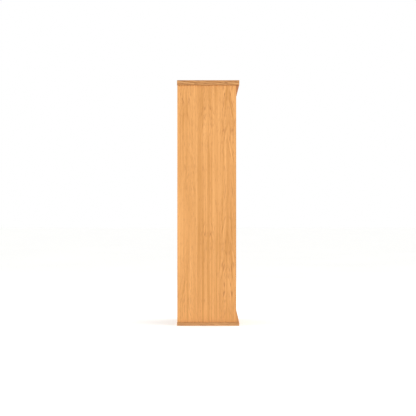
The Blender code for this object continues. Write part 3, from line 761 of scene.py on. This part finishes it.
def curled_knuckle(side, pivot, leaf_u, tab_end, low, high):
    """A tube curled from the leaf's front edge round the pin. leaf_u is how far the leaf's outer face is
    from the side, and tab_end where the tab runs into the leaf."""
    wall_to_pin = inner_face - abs(pivot.x)
    near, far = leaf_u - wall_to_pin, leaf_u + HINGE_GAUGE - wall_to_pin
    start = math.atan2(math.sqrt(BARREL**2 - far**2), far)
    end = math.atan2(math.sqrt(BARREL**2 - near**2), near) - 2 * math.pi
    outer = [(near, tab_end - pivot.y), (far, tab_end - pivot.y)]
    for i in range(KNUCKLE_STEPS + 1):
        angle = start + (end - start) * i / KNUCKLE_STEPS
        outer.append((BARREL * math.cos(angle), BARREL * math.sin(angle)))
    turns = [math.tau * i / BORE_SIDES for i in range(BORE_SIDES)]
    bore = [(BORE * math.cos(turn), BORE * math.sin(turn)) for turn in turns]
    made = bmesh.new()
    edges = []
    for loop in (outer, bore):
        ring = [made.verts.new((side * (abs(pivot.x) - u), pivot.y + v, low)) for u, v in loop]
        edges += [made.edges.new((ring[i], ring[(i + 1) % len(ring)])) for i in range(len(ring))]
    bmesh.ops.triangle_fill(made, use_beauty=True, edges=edges)
    return swept_solid(made, made.faces[:], (0, 0, high - low))


def round_corners(shape, along, spot, width):
    """Rounds the corner edges that run along one axis at a spot on another."""
    axis, value = spot
    corners = [
        e for e in shape.edges
        if all(abs(v.co[axis] - value) < 1e-6 for v in e.verts)
        and abs(e.verts[0].co[along] - e.verts[1].co[along]) > 1e-6
        and all(abs(e.verts[0].co[i] - e.verts[1].co[i]) < 1e-6 for i in range(3) if i != along)
    ]
    bmesh.ops.bevel(shape, geom=corners, offset=width, segments=5, affect="EDGES", profile=0.5)
    return shape


def join_in(made, extras):
    """Adds loose bmeshes to a finished piece's mesh."""
    whole = bmesh.new()
    whole.from_mesh(made.data)
    for extra in extras:
        mesh = bpy.data.meshes.new("extra")
        extra.to_mesh(mesh)
        extra.free()
        whole.from_mesh(mesh)
        bpy.data.meshes.remove(mesh)
    whole.to_mesh(made.data)
    whole.free()
    soften(made.data)


inner_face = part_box("right_side_panel")[0].x
door_face, door_back = door_low.y, door_high.y
leaf_front = door_face + LEAF_SETBACK
joints = {joint["child"]: Vector(joint["pos_m"]) for joint in frame["joints"]}
hinge_pins, side_screws = [], []
for side, hand in HANDS:
    door_screws = []
    pivot = joints[f"{hand}_door"]
    for i in range(1, 4):
        low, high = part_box(f"{hand}_hinge_{i}_side_leaf")
        middle = (low.z + high.z) / 2
        length = (high.z - low.z - (KNUCKLES - 1) * KNUCKLE_GAP) / KNUCKLES
        spans = [low.z + k * (length + KNUCKLE_GAP) for k in range(KNUCKLES)]

        near, far = inner_face - SIDE_LEAF_OFF, inner_face - SIDE_LEAF_OFF - HINGE_GAUGE
        start, end = sorted((side * near, side * far))
        plate = box_shape((start, leaf_front, low.z), (end, high.y, high.z))
        round_corners(plate, 0, (1, high.y), LEAF_CORNER)
        name = f"{hand}_hinge_{i}_side_plate"
        made = place_mesh(name, ease(plate, METAL_EASE, 1), [brass], "cabinet")
        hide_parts(f"{hand}_hinge_{i}_side_leaf")
        seats = [
            ((side * far, high.y - y, middle + z), (-side, 0, 0), 0.6 * i + 40 * z) for y, z in SIDE_SCREWS
        ]
        drilled(made, grow("seats", seat_tree, seats, finish=brass))
        tab_end = leaf_front + HINGE_GAUGE
        own = [curled_knuckle(side, pivot, SIDE_LEAF_OFF, tab_end, z, z + length) for z in spans[::2]]
        join_in(made, own)
        side_screws += seats

        front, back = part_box(f"{hand}_hinge_{i}_door_leaf")
        reach = inner_face - min(abs(front.x), abs(back.x))
        near, far = DOOR_LEAF_OFF, DOOR_LEAF_OFF + HINGE_GAUGE
        inside = back.y - HINGE_GAUGE
        outline = [
            (near, leaf_front), (far, leaf_front), (far, inside), (reach, inside), (reach, back.y),
            (near + HINGE_BEND, back.y), (near + 0.0003, back.y - 0.0003), (near, back.y - HINGE_BEND),
        ]
        plate = prism(outline, lambda u, y: (side * (inner_face - u), y, low.z), (0, 0, high.z - low.z))
        round_corners(plate, 1, (0, side * (inner_face - reach)), LEAF_CORNER)
        name = f"{hand}_hinge_{i}_door_plate"
        made = place_mesh(name, ease(plate, METAL_EASE, 1, 1.2), [brass], f"{hand}_door")
        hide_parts(f"{hand}_hinge_{i}_door_leaf")
        seats = [
            ((side * (inner_face - x), back.y, middle + z), (0, 1, 0), 0.9 * i + 50 * z)
            for x, z in DOOR_SCREWS
        ]
        drilled(made, grow("seats", seat_tree, seats, finish=brass))
        own = [curled_knuckle(side, pivot, DOOR_LEAF_OFF, tab_end, z, z + length) for z in spans[1::2]]
        join_in(made, own)
        door_screws += seats
        hinge_pins.append(((pivot.x, pivot.y, middle), (0, 0, 1), 0.0))
    screws = grow(f"{hand}_door_hinge_screws", screw_tree, door_screws, finish=screw_brass)
    place_piece(screws, f"{hand}_door")
screws = grow("side_hinge_screws", screw_tree, side_screws, finish=screw_brass)
place_piece(screws, "cabinet")
pin_nodes = [f"{hand}_hinge_{i}_pin" for hand in ("left", "right") for i in range(1, 4)]
pins = grow("hinge_pins", hinge_pin_tree, hinge_pins, finish=brass)
place_piece(pins, "cabinet", pin_nodes)

# ------------------------------------------------------------ magnetic catch
# A double catch under the middle shelf. The moulded brown housing has a pocket for each door's magnet, which
# is a block of ferrite between two steel pole plates, and two slots for the screws that hold it up.

CATCH_SCREW_INSET = 0.0045
CATCH_SCREW_SUNK = 0.0022
CATCH_CORNER = 0.003
CATCH_EASE = 0.0006
POCKET_ROOM = 0.0003  # round each magnet
POCKET_MOUTH = 0.002  # past the housing's front, so that the pocket comes out there
MAGNET_HEIGHT = 0.007
POLE_PLATE = 0.0013


def moulded(name, light, dark, roughness, bump_scale=700.0, strength=0.25):
    """Moulded plastic or pressed ferrite: an even colour with a very fine grained face."""
    made, tree, shader, place = new_material(name, ior=1.5)
    cloud = noise_in(tree, place, 40.0, 3.0)
    two_tone(tree, shader, cloud, light, dark)
    roughen(tree, shader, cloud, roughness - 0.06, roughness + 0.06)
    press_in(tree, shader, noise_in(tree, place, bump_scale, 2.0), "Fac", strength, 0.0001)
    return made


brown_plastic = moulded("moulded_polystyrene", "#6F4C33", "#5C3D28", 0.45)
ferrite = moulded("pressed_ferrite", "#3B3B3E", "#2C2C2F", 0.6, 450.0, 0.5)

low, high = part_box("catch_housing")
housing = box_shape(low, high)
round_corners(housing, 2, (1, high.y), CATCH_CORNER)
ease(housing, CATCH_EASE, 2)
housing = place_mesh("catch_body", housing, [brown_plastic], "cabinet", ["catch_housing"])
magnets = {hand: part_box(f"catch_magnet_{hand}") for hand in ("left", "right")}
room = Vector((POCKET_ROOM, POCKET_ROOM, POCKET_ROOM))
for magnet_low, magnet_high in magnets.values():
    pocket = box_shape(magnet_low - room - Vector((0, POCKET_MOUTH, 0)), magnet_high + room)
    drilled(housing, as_object("pocket", pocket, [brown_plastic]))
middle_y = (low.y + high.y) / 2
slot_places = (low.x + CATCH_SCREW_INSET, high.x - CATCH_SCREW_INSET)
slots = [((x, middle_y, low.z), (0, 0, -1), 0.5) for x in slot_places]
wide = {"hole": 0.0032, "mouth": 0.0036, "seat": -0.001, "top": 0.001, "bottom": -0.0045}
drilled(housing, grow("slots", seat_tree, slots, finish=brown_plastic, **wide))
soften(housing.data, 30)
sunk = [((x, y, z + CATCH_SCREW_SUNK), facing, spin) for (x, y, z), facing, spin in slots]
place_piece(grow("catch_screws", screw_tree, sunk, finish=zinc, head=0.0029), "cabinet")

levels = (0, POLE_PLATE, MAGNET_HEIGHT - POLE_PLATE, MAGNET_HEIGHT)
ferrite_inset = Vector((0.0003, 0.0004, 0.0))  # behind the pole plates' edges
for hand, (magnet_low, magnet_high) in magnets.items():
    layers = []
    for start, end, is_ferrite in zip(levels, levels[1:], (0, 1, 0)):
        layer_low = Vector((magnet_low.x, magnet_low.y, magnet_low.z + start)) + ferrite_inset * is_ferrite
        layer_high = Vector((magnet_high.x, magnet_high.y, magnet_low.z + end)) - ferrite_inset * is_ferrite
        layer = ease(box_shape(layer_low, layer_high), METAL_EASE, 1)
        for face in layer.faces:
            face.material_index = 1 - is_ferrite
        layers.append(layer)
    finishes, nodes = [ferrite, zinc], [f"catch_magnet_{hand}"]
    made = place_mesh(f"{hand}_magnet", layers.pop(), finishes, "cabinet", nodes)
    join_in(made, layers)

# ------------------------------------------------------------ strike plates
# A small nickelled plate on each door's back, which the magnet pulls on. One sunk screw in its middle lets
# it rock and settle flat, and two pips pressed into the wood keep it from turning.

STRIKE_CORNER = 0.0025
PIP_FROM_SCREW = 0.010
PIP_SIZES = {"hole": 0.0008, "mouth": 0.0012, "seat": -0.0002, "bottom": -0.0004}

for hand in ("left", "right"):
    node = f"{hand}_strike_plate"
    low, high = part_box(node)
    plate = box_shape(low, high)
    for end in (low.x, high.x):
        round_corners(plate, 1, (0, end), STRIKE_CORNER)
    ease(plate, METAL_EASE, 1)
    made = place_mesh(f"{hand}_strike", plate, [nickel], f"{hand}_door", [node])
    middle = (low + high) / 2
    seat = [((middle.x, high.y, middle.z), (0, 1, 0), 0.35)]
    pip_places = (middle.x - PIP_FROM_SCREW, middle.x + PIP_FROM_SCREW)
    pips = [((x, high.y, middle.z), (0, 1, 0), 0.0) for x in pip_places]
    drilled(made, grow("seats", seat_tree, seat, finish=nickel))
    drilled(made, grow("pips", seat_tree, pips, finish=nickel, **PIP_SIZES))
    soften(made.data)
    screw = grow(f"{hand}_strike_screw", screw_tree, seat, finish=nickel)
    place_piece(screw, f"{hand}_door")

# ------------------------------------------------------------ wall brackets
# Two bent and zinc-plated steel angles under the top. A pan-head screw goes up into the top through one leg,
# and the other leg's hole is left for the screw that ties the cabinet to a wall.

BRACKET_GAUGE = 0.0025
BRACKET_CORNER = 0.005
BRACKET_EASE = 0.0004
BRACKET_HOLE = 0.0025
BRACKET_BEND = 0.0022  # outside the bend
BRACKET_BEND_STEPS = 5
BRACKET_FILLET = 0.0012  # inside the bend
PAN_HEAD = {
    "bottom": 0.0, "shank": 0.0036, "head": 0.0036, "rim": 0.0012, "crown": 0.0022, "top": 0.0021,
    "sunk": 0.0012,
}

turns = [math.pi / 2 * k / BRACKET_BEND_STEPS for k in range(BRACKET_BEND_STEPS + 1)]
arc = [(BRACKET_BEND * math.sin(turn), BRACKET_BEND * (1 - math.cos(turn))) for turn in turns]
under_top = []
for hand in ("left", "right"):
    node = f"wall_bracket_{hand}"
    low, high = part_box(node)
    rear, top = high.y, high.z
    leg, flange = rear - BRACKET_GAUGE, top - BRACKET_GAUGE
    outline = [(rear - BRACKET_BEND + a, top - b) for a, b in arc] + [
        (rear, low.z), (leg, low.z), (leg, flange - BRACKET_FILLET), (leg - BRACKET_FILLET, flange),
        (low.y, flange), (low.y, top),
    ]
    angle = prism(outline, lambda y, z: (low.x, y, z), (high.x - low.x, 0, 0))
    round_corners(angle, 2, (1, low.y), BRACKET_CORNER)
    round_corners(angle, 1, (2, low.z), BRACKET_CORNER)
    ease(angle, BRACKET_EASE, 2, 1.2)
    made = place_mesh(f"{hand}_wall_angle", angle, [zinc], "cabinet", [node])
    middle_x = (low.x + high.x) / 2
    holes = [
        ((middle_x, leg, (low.z + top) / 2), (0, -1, 0), 0.0),
        ((middle_x, (low.y + rear) / 2, flange), (0, 0, -1), 0.4),
    ]
    mouth = BRACKET_HOLE + 0.0003
    drilled(made, grow("holes", seat_tree, holes, finish=zinc, hole=BRACKET_HOLE, mouth=mouth))
    soften(made.data)
    under_top.append(holes[1])
screws = grow("bracket_screws", screw_tree, under_top, finish=zinc, **PAN_HEAD)
place_piece(screws, "cabinet")

# ------------------------------------------------------------ cam locks
# Cast zinc cams, turned with a screwdriver to draw each board up to the side. They fill 15 mm holes and
# stand 0.3 mm out of the face, under the middle shelf and in the backs of the two rails.

CAM = {
    "bottom": -0.0010, "rim": 0.00015, "top": 0.0003, "shank": 0.0074, "head": 0.0074, "crown": 0.0070,
    "cross": 0.0088, "slot": 0.0015, "sunk": 0.0010,
}
CAM_FROM_SIDE = 0.024
CAM_FROM_FRONT = 0.055
CAM_FROM_REAR = 0.060
CAM_FROM_RAIL_EDGE = 0.022

cams = []
shelf_low, shelf_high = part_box("middle_shelf")
for side in (-1, 1):
    x = side * (inner_face - CAM_FROM_SIDE)
    for y in (shelf_low.y + CAM_FROM_FRONT, shelf_high.y - CAM_FROM_REAR):
        cams.append(((x, y, shelf_low.z), (0, 0, -1), 0.3 * side + y))
    for rail in ("header_rail", "toe_rail"):
        low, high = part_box(rail)
        for z in (low.z + CAM_FROM_RAIL_EDGE, high.z - CAM_FROM_RAIL_EDGE):
            cams.append(((x, high.y, z), (0, 1, 0), 0.4 * side + 9 * z))
place_piece(grow("cam_locks", screw_tree, cams, finish=zinc, **CAM), "cabinet")

# ------------------------------------------------------------ door bumpers
# Clear rubbery buttons stuck to the doors' backs, two to a door. They meet the middle shelf's front edge and
# quieten the doors.

BUMPER = {"bottom": 0.0, "shank": 0.0045, "head": 0.0045, "rim": 0.0007, "crown": 0.0028, "top": 0.0015}
BUMPERS_FROM_MIDDLE = (0.070, 0.290)

clear_rubber = moulded("cast_polyurethane", "#D9D2C4", "#CBC3B3", 0.35, 200.0, 0.1)
bumper_tree = turned_tree("door_bumpers", {**screw_sizes, "Bottom": 0.0}, SCREW_RINGS, ROUND_SIDES)
shelf_middle = (shelf_low.z + shelf_high.z) / 2
for side, hand in HANDS:
    spots = [((side * x, door_back, shelf_middle), (0, 1, 0), 0.0) for x in BUMPERS_FROM_MIDDLE]
    made = grow(f"{hand}_door_bumpers", bumper_tree, spots, finish=clear_rubber, **BUMPER)
    place_piece(made, f"{hand}_door")

# ------------------------------------------------------------ studio
# A wide pale floor, an even surround and three broad soft lights, shown in plain colours. The lens sees the
# surround as plain white, and the cabinet is lit by a little less.

SURROUND = 0.72  # the light that the surround gives


def studio_floor():
    """A pale matt floor that glows a little, so that it runs into the surround without a line."""
    made, tree, shader, place = new_material("studio_floor", roughness=0.9, emission_strength=0.36)
    colour = two_tone(tree, shader, noise_in(tree, place, 0.6, 2.0), "#F2F2F0", "#F9F9F8")
    tree.links.new(colour.outputs[2], shader.inputs["Emission Color"])
    return made


floor_shape = bmesh.new()
bmesh.ops.create_grid(floor_shape, x_segments=4, y_segments=4, size=60.0)
floor = as_object("floor", floor_shape, [studio_floor()])

world = bpy.data.worlds.new("studio")
world.use_nodes = True
background = world.node_tree.nodes["Background"]
background.inputs["Color"].default_value = (1.0, 1.0, 1.0, 1.0)
ray = add_node(world.node_tree, "ShaderNodeLightPath", {})
settings = {"To Min": SURROUND, "To Max": 1.0}
strength = add_node(world.node_tree, "ShaderNodeMapRange", settings, [("Value", ray, "Is Camera Ray")])
world.node_tree.links.new(strength.outputs["Result"], background.inputs["Strength"])
bpy.context.scene.world = world
bpy.context.scene.view_settings.view_transform = "Standard"

for name, place, size, power in (
    ("key", (-4.5, -4.0, 4.0), 4.0, 90.0),
    ("fill", (4.5, -3.5, 3.0), 4.5, 60.0),
    ("rim", (-0.5, 5.5, 3.6), 4.5, 84.0),
):
    lamp = bpy.data.lights.new(name, "AREA")
    lamp.shape = "SQUARE"
    lamp.size = size
    lamp.energy = power
    light = bpy.data.objects.new(name, lamp)
    light.location = place
    light.rotation_euler = (Vector((0, 0, 0.9)) - Vector(place)).to_track_quat("-Z", "Y").to_euler()
    bpy.context.scene.collection.objects.link(light)
